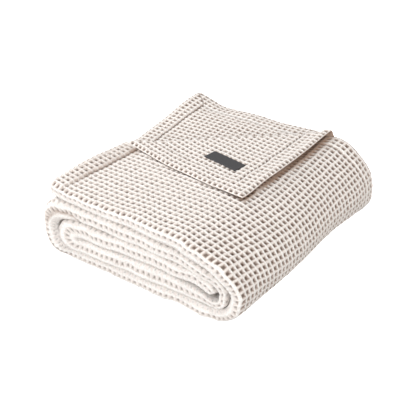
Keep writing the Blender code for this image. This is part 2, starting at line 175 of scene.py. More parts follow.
def kept_shape(t, values, at):
    """A curve through the values with no overshoot between them."""
    step = np.diff(t)
    slope = np.diff(values) / step
    tangent = np.zeros_like(values)
    left, right = slope[:-1], slope[1:]
    w1, w2 = 2 * step[1:] + step[:-1], step[1:] + 2 * step[:-1]
    with np.errstate(divide="ignore", invalid="ignore"):
        mean = (w1 + w2) / (w1 / left + w2 / right)
    tangent[1:-1] = np.where(left * right > 0, mean, 0.0)
    tangent[0], tangent[-1] = slope[0], slope[-1]
    k = np.clip(np.searchsorted(t, at, side="right") - 1, 0, len(t) - 2)
    h = step[k]
    u = np.clip((at - t[k]) / h, 0.0, 1.0)
    return ((1 + 2 * u) * (1 - u) ** 2 * values[k] + u * (1 - u) ** 2 * h * tangent[k]
            + u * u * (3 - 2 * u) * values[k + 1] + u * u * (u - 1) * h * tangent[k + 1])


def chords(points):
    return np.concatenate([[0.0], np.cumsum(np.linalg.norm(np.diff(points, axis=0), axis=1))])


def route_table():
    """The route at close steps, with its length along the cloth that shows."""
    weight = np.where(np.arange(len(ROUTE) - 1) < OUTER_TURN_ENDS, 1.0, 0.55)
    out = np.linalg.norm(np.diff(ROUTE[:, 0:2], axis=0), axis=1)
    inn = np.linalg.norm(np.diff(ROUTE[:, 2:4], axis=0), axis=1)
    t = np.concatenate([[0.0], np.cumsum(weight * out + (1 - weight) * inn)])
    at = np.linspace(0.0, t[-1], 6000)
    dense = np.stack([kept_shape(t, ROUTE[:, k], at) for k in range(6)], axis=1)
    k = np.clip(np.searchsorted(t, at, side="right") - 1, 0, len(t) - 2)
    w = weight[k][1:]
    length = (w * np.linalg.norm(np.diff(dense[:, 0:2], axis=0), axis=1)
              + (1 - w) * np.linalg.norm(np.diff(dense[:, 2:4], axis=0), axis=1))
    s = np.concatenate([[0.0], np.cumsum(length)])
    return s, dense, np.interp(t, at, s)


ROUTE_S, ROUTE_DENSE, ROW_S = route_table()
ROUTE_LENGTH = ROUTE_S[-1]


def ply_depth(ply):
    return (ply + 0.5) * PLY_PITCH


def section_table(outer_shape, inner_shape):
    """The cloth's centre line in the strip's own section (y, depth), and its outward direction, by length.
    The near fold that holds the others is as round as its two shapes say, on its outer and its inner half."""
    line = []
    for index, (ply, start, stop) in enumerate(PLY_RUNS):
        depth = ply_depth(ply)
        for share in np.linspace(0.0, 1.0, 200):
            line.append((start + (stop - start) * share, depth))
        if index < len(FOLDS):
            side, bulge = FOLDS[index]
            sign = -1.0 if side == "near" else 1.0
            following = ply_depth(PLY_RUNS[index + 1][0])
            middle, half = (depth + following) / 2.0, (depth - following) / 2.0
            for angle in np.linspace(0.0, math.pi, 120)[1:-1]:
                shape = FOLD_ROUNDNESS
                if index == 0:
                    shape = outer_shape if angle > math.pi / 2 else inner_shape
                out, up = math.sin(angle) ** shape, math.cos(angle)
                up = math.copysign(abs(up) ** shape, up)
                line.append((stop + sign * bulge * out, middle + half * up))
    line = np.array(line)
    c = chords(line)
    # every shape is cut in the same places, so that a point of one lies near the same point of the others
    spans = [0, 200, 259, 318, len(line) - 1]
    at = []
    for first, last, count in zip(spans[:-1], spans[1:], SECTION_STEPS):
        at.append(np.linspace(c[first], c[last], count, endpoint=False))
    at = np.concatenate(at)
    even = np.stack([np.interp(at, c, line[:, k]) for k in range(2)], axis=1)
    along = np.gradient(even, axis=0)
    kernel = np.ones(3) / 3.0
    along = np.stack([np.convolve(np.pad(along[:, k], 1, mode="edge"), kernel, "valid") for k in range(2)], axis=1)
    along /= np.linalg.norm(along, axis=1)[:, None]
    across = np.stack([-along[:, 1], along[:, 0]], axis=1)
    return even, across


SECTION_STEPS = (740, 40, 40, 3800)
SECTIONS = {name: section_table(*shape) for name, shape in {
    "top": (FOLD_ROUNDNESS, FOLD_PRESSED), "side": (FOLD_ROUNDNESS, 0.5), "within": (FOLD_PRESSED, FOLD_PRESSED),
    "left": (FOLD_ROUNDNESS, FOLD_SLOPED),
}.items()}
SECTION = SECTIONS["top"][0]
SECTION_C = chords(SECTION)
SECTION_LENGTH = SECTION_C[-1]


def section_share(s):
    """How much the strip lies inside the bundle, and how much it is in its right or left outer turn."""
    within = smooth((s - ROW_S[24]) / (ROW_S[OUTER_TURN_ENDS] - ROW_S[24]))
    side = smooth((s - ROW_S[8]) / 40.0) * smooth((ROW_S[16] - s) / 30.0)
    left = smooth((s - ROW_S[19]) / 25.0) * (1.0 - within)
    return within, side, left


def run_span(ply):
    """Where a ply's run starts and ends along the section."""
    on = np.abs(SECTION[:, 1] - ply_depth(ply)) < 0.02
    here = SECTION_C[on]
    return here[0], here[-1]


def waves(a, b, seed, longest, count=7):
    """Soft unevenness over two coordinates in millimetres, from -1 to 1 or so."""
    rng = np.random.default_rng(seed)
    total = np.zeros(np.broadcast(a, b).shape)
    for _ in range(count):
        reach = longest * rng.uniform(0.45, 1.1)
        angle, phase = rng.uniform(0, 2 * math.pi, 2)
        total += np.sin((a * math.cos(angle) + b * math.sin(angle)) * 2 * math.pi / reach + phase)
    return total / math.sqrt(count)


def lift_at(x, y, z):
    share = np.maximum(0.0, z / TOP_HEIGHT)
    lift = sum(h * np.exp(-((x - cx) / rx) ** 2 - ((y - cy) / ry) ** 2) for cx, cy, rx, ry, h in UNEVEN)
    return lift * share ** 1.6


def inwards_at(x, y, z):
    inwards = sum(a * np.exp(-((y - cy) / ry) ** 2 - ((z - cz) / rz) ** 2) for cy, cz, ry, rz, a in DRAWN_IN)
    return inwards * smooth((x - 60.0) / 110.0)


def fold_y(x):
    """y of the diagonal fold."""
    points = FOLD_LINE
    first = points[0][1] + (x - points[0][0]) * (points[1][1] - points[0][1]) / (points[1][0] - points[0][0])
    slope = (points[2][1] - points[1][1]) / (points[2][0] - points[1][0])
    return np.where(x < points[1][0], first, points[1][1] + (x - points[1][0]) * slope)


def flap_front_y(x):
    line = np.array(FLAP_FRONT)[::-1]
    return np.interp(x, line[:, 0], line[:, 1])


def x_on_top(s):
    return np.interp(s, ROUTE_S, ROUTE_DENSE[:, 0])


PLY0 = run_span(0)
PLY1 = run_span(1)
PLY5 = run_span(5)
PLY2 = run_span(2)


def place(s, c, offset):
    """Points of the cloth: s along the strip's route, c along its section, offset from its centre line."""
    s, c = np.clip(s, 0.0, ROUTE_LENGTH), np.clip(c, 0.0, SECTION_LENGTH)
    within, side, left = section_share(s)
    y, depth, out_y, out_d = 0.0, 0.0, 0.0, 0.0
    for name, share in (("top", 1.0 - within - side - left), ("side", side), ("within", within), ("left", left)):
        even, out = SECTIONS[name]
        y = y + share * np.interp(c, SECTION_C, even[:, 0])
        depth = depth + share * np.interp(c, SECTION_C, even[:, 1])
        out_y = out_y + share * np.interp(c, SECTION_C, out[:, 0])
        out_d = out_d + share * np.interp(c, SECTION_C, out[:, 1])
    drift = np.interp(np.where(c < PLY0[1], np.minimum(y, fold_y(x_on_top(s))), y), *np.array(DRIFT).T)
    s = s + drift * (1.0 - smooth((s - ROW_S[19]) / 200.0))
    x_out, z_out, x_in, z_in, near, far = (np.interp(s, ROUTE_S, ROUTE_DENSE[:, k]) for k in range(6))
    # the outer ply ends along the diagonal fold, under the corner that is turned back
    corner = (c < PLY0[1] + 1.0) & (s < ROW_S[9])
    knee = np.maximum(flap_front_y(x_out) + 4.0, -300.0)
    ends = np.maximum(np.minimum(fold_y(x_out) - 1.5, FAR), knee + 0.6)
    y = np.where(corner & (y > knee), knee + (y - knee) * (ends - knee) / (FAR - knee), y)
    y = y + out_y * offset
    depth = depth + out_d * offset
    near = near + 1.3 * waves(s, 0.0 * s, 5, 95.0) * smooth(s / 30.0)
    far = far + 1.1 * waves(s, 0.0 * s, 6, 120.0)
    y = np.where(y < BEND_NEAR, BEND_NEAR + (y - BEND_NEAR) * (near - BEND_NEAR) / (NEAR - BEND_NEAR), y)
    y = np.where(y > BEND_FAR, BEND_FAR + (y - BEND_FAR) * (far - BEND_FAR) / (FAR - BEND_FAR), y)
    share = depth / STRIP_THICK
    x = x_out + (x_in - x_out) * share
    z = z_out + (z_in - z_out) * share
    x, z = x - inwards_at(x, y, z), z + lift_at(x, y, z)
    return np.stack([x, y, z], axis=-1)


def weave_relief(u, v, seed):
    """Height of the waffle at (u, v) in squares: a rib along every whole number, a pit between them."""
    pu, pv = np.abs(u - np.round(u)), np.abs(v - np.round(v))
    ru = 1.0 - smooth((pu - RIB_HALF) / (0.5 - 2.0 * RIB_HALF))
    rv = 1.0 - smooth((pv - RIB_HALF) / (0.5 - 2.0 * RIB_HALF))
    rib = np.maximum(ru, rv)
    rng = np.random.default_rng(seed)
    deep, high = rng.uniform(0.78, 1.1, (64, 64)), rng.uniform(0.75, 1.2, (64, 64))
    cell = np.floor(u).astype(int) % 64, np.floor(v).astype(int) % 64
    knot = np.floor(u + 0.5).astype(int) % 64, np.floor(v + 0.5).astype(int) % 64
    return rib * (RIB_UP * high[knot] + 0.25 * ru * rv) - PIT_DOWN * deep[cell] * (1.0 - rib)


# ---------------------------------------------------------------------------
# The sheet: a grid in the cloth's own coordinates, fine where it shows
# ---------------------------------------------------------------------------

ROW_CELLS = int(round(ROUTE_LENGTH / CELL_ALONG))
COL_CELLS = int(round(SECTION_LENGTH / CELL_ACROSS))
ROW_CELL = ROUTE_LENGTH / ROW_CELLS
COL_CELL = SECTION_LENGTH / COL_CELLS


def fine_at(index, size):
    index = np.asarray(index)
    return size * (index // SUB + np.array(SUB_AT)[index % SUB])


def block_bounds(count, size, keep, widest):
    """Cell indices that bound the coarse blocks. Inside the kept spans every cell is a block."""
    bounds, k = [0], 0
    while k < count:
        k += 1
        middle = (k - 0.5) * size
        close = any(a <= middle <= b for a, b in keep)
        following = any(a <= middle + size <= b for a, b in keep)
        if close or following or k - bounds[-1] >= widest or k == count:
            bounds.append(k)
    return bounds


def sheet_mesh():
    turns = [(ROW_S[a], ROW_S[b]) for a, b in IN_TURNS] + [(0.0, 20.0), (ROUTE_LENGTH - 12.0, ROUTE_LENGTH)]
    row_bounds = block_bounds(ROW_CELLS, ROW_CELL, turns, 3)
    spans = [run_span(p) for p, _a, _b in PLY_RUNS]
    bends = [(spans[k][1] - 4.0, spans[k + 1][0] + 4.0) for k in range(5)]
    edges = [(0.0, 32.0), (SECTION_LENGTH - 32.0, SECTION_LENGTH)]
    col_bounds = block_bounds(COL_CELLS, COL_CELL, bends + edges, 4)
    nrow, ncol = len(row_bounds) - 1, len(col_bounds) - 1

    fine_r = np.zeros((2, nrow, ncol), bool)
    fine_c = np.zeros((2, nrow, ncol), bool)
    for i in range(nrow):
        s0, s1 = row_bounds[i] * ROW_CELL, row_bounds[i + 1] * ROW_CELL
        s_mid = (s0 + s1) / 2.0
        outer = s0 < ROW_S[OUTER_TURN_ENDS] + 15.0
        bottom = ROW_S[BOTTOM_ROWS[0]] - 12.0 < s0 and s1 < ROW_S[BOTTOM_ROWS[1]] + 14.0
        inside = s0 > ROW_S[OUTER_TURN_ENDS] + 15.0
        for j in range(ncol):
            c0, c1 = col_bounds[j] * COL_CELL, col_bounds[j + 1] * COL_CELL
            c_mid = (c0 + c1) / 2.0
            y0 = float(np.interp(c0, SECTION_C, SECTION[:, 0]))
            y1 = float(np.interp(c1, SECTION_C, SECTION[:, 0]))
            x = float(x_on_top(s1))
            fine = False
            if c_mid < PLY0[1] and outer and not bottom:
                hidden = s1 < ROW_S[9] and x < 84.0 and min(y0, y1) > float(flap_front_y(x_on_top(s_mid))) + 9.0
                fine = not hidden
            if spans[0][1] - (2.0 if inside or bottom else 12.0) < c1 and c0 < spans[1][0] + 2.0:
                fine = True
            if spans[1][1] - 1.0 < c1 and c0 < spans[2][0] + 1.0:
                fine = True
            if bottom and c1 < 20.0:
                fine = True
            fine_r[0, i, j] = fine_c[0, i, j] = fine
            if any(a - 1.0 < c_mid < b + 1.0 for a, b in bends):
                fine_c[0, i, j] = fine_c[1, i, j] = True
            if c_mid > PLY1[0] + 5.0 and s0 < ROW_S[9]:
                shown = max(y0, y1) > float(fold_y(x_on_top(s0))) - 8.0 and float(x_on_top(s0)) < 90.0
                fine_r[1, i, j] = fine_c[1, i, j] = shown or fine_r[1, i, j]

    index, keys, faces = {}, [], []

    def vertex(side, i, k):
        key = (side, i, k)
        if key not in index:
            index[key] = len(keys)
            keys.append((side, float(i), float(k)))
        return index[key]

    def stations(bounds, b, is_fine):
        a, z = bounds[b] * SUB, bounds[b + 1] * SUB
        return list(range(a, z + 1)) if is_fine else [a, z]

    def edge_fine(flags, side, i, j, di, dj):
        if flags[side, i, j]:
            return True
        ni, nj = i + di, j + dj
        return 0 <= ni < nrow and 0 <= nj < ncol and bool(flags[side, ni, nj])

    for side in (0, 1):
        for i in range(nrow):
            for j in range(ncol):
                rows = stations(row_bounds, i, fine_r[side, i, j])
                cols = stations(col_bounds, j, fine_c[side, i, j])
                low_c = edge_fine(fine_c, side, i, j, -1, 0)
                high_c = edge_fine(fine_c, side, i, j, 1, 0)
                low_r = edge_fine(fine_r, side, i, j, 0, -1)
                high_r = edge_fine(fine_r, side, i, j, 0, 1)
                for a in range(len(rows) - 1):
                    for b in range(len(cols) - 1):
                        r0, r1, k0, k1 = rows[a], rows[a + 1], cols[b], cols[b + 1]
                        low = range(k0, k1) if a == 0 and low_c else (k0,)
                        right = range(r0, r1) if b == len(cols) - 2 and high_r else (r0,)
                        high = range(k1, k0, -1) if a == len(rows) - 2 and high_c else (k1,)
                        left = range(r1, r0, -1) if b == 0 and low_r else (r1,)
                        ring = [vertex(side, r0, k) for k in low] + [vertex(side, r, k1) for r in right]
                        ring += [vertex(side, r1, k) for k in high] + [vertex(side, r, k0) for r in left]
                        if len(ring) == 4:
                            faces.append(tuple(ring))
                        else:
                            middle = len(keys)
                            keys.append((side, (r0 + r1) / 2.0, (k0 + k1) / 2.0))
                            for m in range(len(ring)):
                                faces.append((ring[m], ring[(m + 1) % len(ring)], middle))

    def zip_up(first, second):
        """Faces between two lines of vertices that start and end together, as (position, vertex)."""
        a = b = 0
        while a < len(first) - 1 or b < len(second) - 1:
            if b == len(second) - 1 or (a < len(first) - 1 and first[a + 1][0] <= second[b + 1][0]):
                if (a < len(first) - 1 and b < len(second) - 1 and first[a + 1][0] == second[b + 1][0]):
                    faces.append((first[a][1], first[a + 1][1], second[b + 1][1], second[b][1]))
                    a, b = a + 1, b + 1
                    continue
                faces.append((first[a][1], first[a + 1][1], second[b][1]))
                a += 1
            else:
                faces.append((first[a][1], second[b + 1][1], second[b][1]))
                b += 1

    for j, k in ((0, 0), (ncol - 1, COL_CELLS * SUB)):
        for i in range(nrow):
            zip_up(*[[(r, vertex(side, r, k)) for r in stations(row_bounds, i, fine_r[side, i, j])] for side in (0, 1)])
    for i, r in ((0, 0), (nrow - 1, ROW_CELLS * SUB)):
        for j in range(ncol):
            zip_up(*[[(k, vertex(side, r, k)) for k in stations(col_bounds, j, fine_c[side, i, j])] for side in (0, 1)])

    keys = np.array(keys)
    return keys, faces, (row_bounds, col_bounds, fine_r, fine_c)


def spread(index, size):
    """Fine index, whole or halfway, to millimetres."""
    whole = np.floor(index).astype(int)
    part = index - whole
    return fine_at(whole, size) * (1 - part) + fine_at(whole + 1, size) * part


def sheet_points(keys, plan):
    row_bounds, col_bounds, fine_r, _fine_c = plan
    side = keys[:, 0].astype(int)
    s, c = spread(keys[:, 1], ROW_CELL), spread(keys[:, 2], COL_CELL)
    u, v = s / ROW_CELL, c / COL_CELL
    sign = np.where(side == 0, 1.0, -1.0)

    def edge_round(distance):
        return 0.35 + 0.65 * np.sqrt(np.clip(1.0 - (1.0 - np.clip(distance / 2.6, 0, 1)) ** 2, 0, 1))

    rim = np.minimum.reduce([s, ROUTE_LENGTH - s, c, SECTION_LENGTH - c])
    half = CLOTH_THICK / 2.0 * edge_round(rim)
    # the grid wanders a little, as cloth does
    ds = 0.55 * waves(s, c, 11, 46.0) + 0.25 * waves(s, c, 12, 17.0)
    dc = 0.55 * waves(s, c, 13, 44.0) + 0.25 * waves(s, c, 14, 16.0)
    calm = smooth(rim / 12.0)
    s2, c2 = s + ds * calm, c + dc * calm
    base = place(s2, c2, sign * half)
    step = 1.2
    by_s = place(s2 + step, c2, sign * half) - place(s2 - step, c2, sign * half)
    by_c = place(s2, c2 + step, sign * half) - place(s2, c2 - step, sign * half)
    normal = np.cross(by_c, by_s) * sign[:, None]
    size = np.linalg.norm(normal, axis=1)
    normal /= np.maximum(size, 1e-6)[:, None]

    # a fold pulls the weave flatter
    depth = np.interp(c, SECTION_C, SECTION[:, 1])
    pulled = smooth((c - PLY0[1] + 3.0) / 8.0) * smooth((PLY5[0] + 6.0 - c) / 8.0)
    within, _right, left = section_share(s)
    pressed = (np.exp(-((depth - 2.0) / 3.8) ** 2) * within + np.exp(-((depth - 21.0) / 3.8) ** 2) * (1.0 - left))
    pressed = np.minimum(pressed, 1.0) * smooth((c - PLY0[1] + 17.0) / 9.0) * smooth((PLY5[0] + 17.0 - c) / 9.0)
    faint = smooth((c - PLY0[1] - 5.0) / 9.0) * smooth((PLY5[0] + 6.0 - c) / 8.0)
    # painted shade of the pits: weaker on the folds and where layers press, gone at the edges, lighter on the top layer
    # than on the sides
    pit_shade_strength = (1.0 - 0.5 * faint) * (1.0 - 0.5 * pressed) * smooth(rim / 6.0)
    wall_shade_strength = np.where(c < PLY0[1] + 8.0, 0.7 + 0.3 * smooth((s - ROW_S[6]) / (ROW_S[9] - ROW_S[6])), 0.95)
    wall_shade_strength *= (1.0 - 0.75 * faint) * (1.0 - 0.6 * pressed)
    rib = weave_relief(u + RIB_HALF, v + RIB_HALF, 3)
    rib = np.where(rib < 0.0, rib * (1.0 - 0.6 * faint), rib) * (1.0 - 0.4 * within * pulled)
    rib = rib * (1.0 - 0.7 * pressed) + (0.55 + 0.35 * waves(s, 0.0 * s, 31, 60.0)) * pressed
    rb, cb = np.array(row_bounds) * SUB, np.array(col_bounds) * SUB
    i = np.clip(np.searchsorted(rb, keys[:, 1], side="right") - 1, 0, len(rb) - 2)
    j = np.clip(np.searchsorted(cb, keys[:, 2], side="right") - 1, 0, len(cb) - 2)
    fine_vertex = fine_r[side, i, j]
    rib = np.where(fine_vertex, rib, 0.0)
    under_flap = ((c < PLY0[1]) & (side == 0) & (s < ROW_S[9]) & (base[:, 0] < 84.0)
                  & (base[:, 1] > flap_front_y(base[:, 0]) + 2.0))
    rib = np.where(under_flap, np.minimum(rib, -0.2), rib)
    rise = np.zeros(len(keys))
    # hems: the turned-in edge is thicker, with a seam along it
    for distance, cell in ((s, ROW_CELL), (c, COL_CELL), (SECTION_LENGTH - c, COL_CELL)):
        inside = HEM_CELLS * cell
        full = np.where((distance is s) & (c < PLY0[1]), 1.9 * HEM_RISE, HEM_RISE)
        rise = np.maximum(rise, full * smooth((inside - distance) / 4.5) * fine_vertex * (1.0 - pulled))
    hem = np.minimum.reduce([s / ROW_CELL, c / COL_CELL, (SECTION_LENGTH - c) / COL_CELL]) - HEM_CELLS
    groove = SEAM_DEEP * np.exp(-(hem / 0.12) ** 2) * fine_vertex * np.where(c > PLY1[0], 1.0, 0.6)
    rib = np.where((np.abs(hem) < 0.12) & (pulled < 0.5), np.minimum(rib, -0.2), rib)
    rise -= groove * (1.0 - pulled)
    # a crease runs through the near fold of the left turn into the gap under the second layer: a real groove, also
    # darkened with painted shade
    line = np.interp(s, ROW_S[22:31], [11.4, 11.4, 11.5, 12.2, 11.3, 11.2, 16.5, 18.7, 22.0])
    strength = smooth((s - ROW_S[23] - 4.0) / 14.0) * smooth((ROW_S[29] + 12.0 - s) / 30.0)
    on_fold = (c > PLY0[1] - 6.0) & (c < PLY5[0] + 6.0) & (side == 0)
    crease_and_shade = strength * np.exp(-((depth - line) / 1.3) ** 2) * on_fold
    rib *= 1.0 - 0.8 * crease_and_shade
    rise -= 2.2 * crease_and_shade
    # painted shade: the top layer is painted darker under the turned-back corner's right edge, on and beside its own
    # left hem, and at that hem's end under the corner's front edge
    on_top = (c < PLY0[1]) & (side == 0) & (s < ROW_S[9])
    right_edge = np.array(FLAP_RIGHT)
    reach = 5.0 + 8.0 * smooth((base[:, 1] + 20.0) / 190.0)
    shade = smooth((np.interp(base[:, 1], right_edge[:, 1], right_edge[:, 0]) + reach - base[:, 0]) / reach)
    shade *= smooth((base[:, 1] + 66.0) / 10.0) * smooth((base[:, 0] - 50.0) / 25.0)
    shade_by_hem = 0.5 * np.exp(-((s / ROW_CELL - HEM_CELLS) / 0.36) ** 2) * smooth((base[:, 1] + 185.0) / 50.0)
    shade_by_hem += 0.13 * smooth((HEM_CELLS - s / ROW_CELL) / 0.8) * smooth((base[:, 1] + 185.0) / 60.0)
    shade_by_hem += 0.5 * np.exp(-((base[:, 0] + 128.0) / 9.0) ** 2 - ((base[:, 1] + 38.0) / 9.0) ** 2)
    crease_and_shade = np.maximum(crease_and_shade, on_top * np.maximum(shade, shade_by_hem))
    rib *= smooth(rim / 3.5)
    moved = base + normal * (rib + rise * smooth(rim / 4.0))[:, None]
    moved[:, 2] = np.maximum(moved[:, 2] - SKIN, 0.0)
    moved[:, 0] += SHIFT[0]
    moved[:, 1] += SHIFT[1]
    by_end = s / ROW_CELL < (SECTION_LENGTH - c) / COL_CELL
    stitched = np.where(c > PLY1[0], np.where(by_end, 1.0, 0.5), 0.6 * smooth((base[:, 1] + 160.0) / 40.0))
    values = {"pits": pit_shade_strength, "wall_shade_strength": wall_shade_strength, "seam": stitched, "crease_and_shade": crease_and_shade}
    return moved, u + RIB_HALF, v + RIB_HALF, values


def make_piece(name, points, faces, u=None, v=None, values=None):
    mesh = bpy.data.meshes.new(name)
    mesh.from_pydata([tuple(p) for p in (points * MM)], [], [tuple(int(k) for k in f) for f in faces])
    work = bmesh.new()
    work.from_mesh(mesh)
    bmesh.ops.recalc_face_normals(work, faces=work.faces)
    work.to_mesh(mesh)
    work.free()
    mesh.polygons.foreach_set("use_smooth", [True] * len(mesh.polygons))
    if u is not None:
        layer = mesh.uv_layers.new(name="weave")
        loops = np.zeros(len(mesh.loops), int)
        mesh.loops.foreach_get("vertex_index", loops)
        flat = np.stack([u[loops], v[loops]], axis=1).astype(np.float32).ravel()
        layer.data.foreach_set("uv", flat)
    for key, value in (values or {}).items():
        attribute = mesh.attributes.new(key, "FLOAT", "POINT")
        attribute.data.foreach_set("value", value.astype(np.float32))
    mesh.update()
    obj = bpy.data.objects.new(name, mesh)
    bpy.context.scene.collection.objects.link(obj)
    return obj


# ---------------------------------------------------------------------------
# The turned-back corner
# ---------------------------------------------------------------------------

TOP_FACE = ply_depth(0) - CLOTH_THICK / 2.0


def top_height(x, y):
    """Height of the top ply's upper face."""
    s_top = np.linspace(0.0, ROW_S[11], 900)
    dense = [np.interp(s_top, ROUTE_S, ROUTE_DENSE[:, k]) for k in range(4)]
    share = TOP_FACE / STRIP_THICK
    xs = dense[0] + (dense[2] - dense[0]) * share
    zs = dense[1] + (dense[3] - dense[1]) * share
    z = np.interp(x, xs, zs)
    return z + lift_at(x, y, z)


def flap_ground(x, y):
    beyond = np.maximum(0.0, x - 55.0)
    around = np.maximum.reduce([top_height(x + dx, y + dy) for dx in (-6.0, 0.0, 6.0) for dy in (-6.0, 0.0, 6.0)])
    lifted = 0.0024 * beyond * beyond + 3.4 * smooth((y + 50.0) / 60.0) * smooth((x - 62.0) / 26.0)
    lifted = lifted + 0.9 * np.exp(-((y - flap_front_y(x)) / 9.0) ** 2) * smooth((x + 140.0) / 60.0)
    return around + lifted + 0.8 * smooth((y - 60.0) / 110.0) * smooth((x - 50.0) / 42.0)


def along_line(line, at):
    line = np.array(line)
    t = chords(line)
    beyond = at - t[-1]
    out = np.stack([np.interp(at, t, line[:, k]) for k in range(2)], axis=-1)
    tail = (line[-1] - line[-2]) / np.linalg.norm(line[-1] - line[-2])
    return out + np.maximum(0.0, beyond)[..., None] * tail


def rounded(line):
    """The same line at close steps, with its corners softened."""
    t = chords(np.array(line))
    at = np.linspace(0.0, t[-1], 400)
    out = np.stack([kept_shape(t, np.array(line)[:, k], at) for k in range(2)], axis=1)
    for _ in range(30):
        out[1:-1] = (out[:-2] + 2 * out[1:-1] + out[2:]) / 4.0
    return out


FRONT_LINE, RIGHT_LINE = rounded(FLAP_FRONT), rounded(FLAP_RIGHT)


def fold_distance(x, y):
    """Distance from the diagonal fold towards the near right, and its direction."""
    points = np.array(FOLD_LINE)
    near = []
    for first, second in ((points[0], points[1]), (points[1], points[2])):
        along = (second - first) / np.linalg.norm(second - first)
        away = np.array([along[1], -along[0]])
        near.append(((x - first[0]) * away[0] + (y - first[1]) * away[1], away))
    soft = 6.0
    a, b = near[0][0], near[1][0]
    mix = np.clip(0.5 + 0.5 * (a - b) / soft, 0.0, 1.0)
    distance = b * (1 - mix) + a * mix + soft * mix * (1 - mix) / 2.0
    away = near[1][1] * (1 - mix)[..., None] + near[0][1] * mix[..., None]
    return distance, away / np.linalg.norm(away, axis=-1)[..., None]


FLAP_CELL = 9.6
FLAP_AT = (0.0, 0.125, 0.25, 0.50, 0.75, 0.875)
FOLD_OUT, LEG = 4.2, 6.0


def fold_path():
    """The flap's centre line across the fold: distance from it, height above the ply, and outward direction."""
    top, low = FLAP_GAP + CLOTH_THICK / 2.0, -CLOTH_THICK / 2.0
    middle, half = (top + low) / 2.0, (top - low) / 2.0
    angle = np.linspace(0.0, math.pi, 60)
    path = np.stack([2.0 - FOLD_OUT * np.sin(angle) ** 0.9, middle + half * np.cos(angle)], axis=1)
    leg = np.stack([np.linspace(2.0, 2.0 + LEG, 12)[1:], np.full(11, low)], axis=1)
    path = np.concatenate([path, leg])
    t = chords(path)
    along = np.gradient(path, axis=0) / np.gradient(t)[:, None]
    along /= np.linalg.norm(along, axis=1)[:, None]
    return t, path, np.stack([along[:, 1], -along[:, 0]], axis=1)


def flap_place(p, q, offset):
    """Points of the turned-back corner: p and q are the distances along its front and right hems."""
    plan = along_line(FRONT_LINE, np.maximum(p, 0.0)) + along_line(RIGHT_LINE, np.maximum(q, 0.0)) - FRONT_LINE[0]
    plan = plan + np.stack([np.minimum(p, 0.0) * -1.0, np.minimum(q, 0.0)], axis=-1)
    x, y = plan[..., 0], plan[..., 1]
    distance, away = fold_distance(x, y)
    t, path, out = FOLD_PATH
    arc = np.maximum(0.0, 2.0 - distance)
    over = np.interp(arc, t, path[:, 0])
    height = np.interp(arc, t, path[:, 1])
    out_d, out_h = np.interp(arc, t, out[:, 0]), np.interp(arc, t, out[:, 1])
    wrapped = distance < 2.0
    new = np.where(wrapped, over, distance)
    height = np.where(wrapped, height, FLAP_GAP + CLOTH_THICK / 2.0)
    out_d, out_h = np.where(wrapped, out_d, 0.0), np.where(wrapped, out_h, 1.0)
    foot = plan + away * (new - distance + out_d * offset)[..., None]
    ground = flap_ground(foot[..., 0], foot[..., 1])
    low = top_height(foot[..., 0], foot[..., 1])
    bottom = smooth((arc - t[20]) / (t[55] - t[20]))
    z = ground * (1 - bottom) + low * bottom + height + out_h * offset
    return np.concatenate([foot, z[..., None]], axis=-1), arc


FOLD_PATH = fold_path()


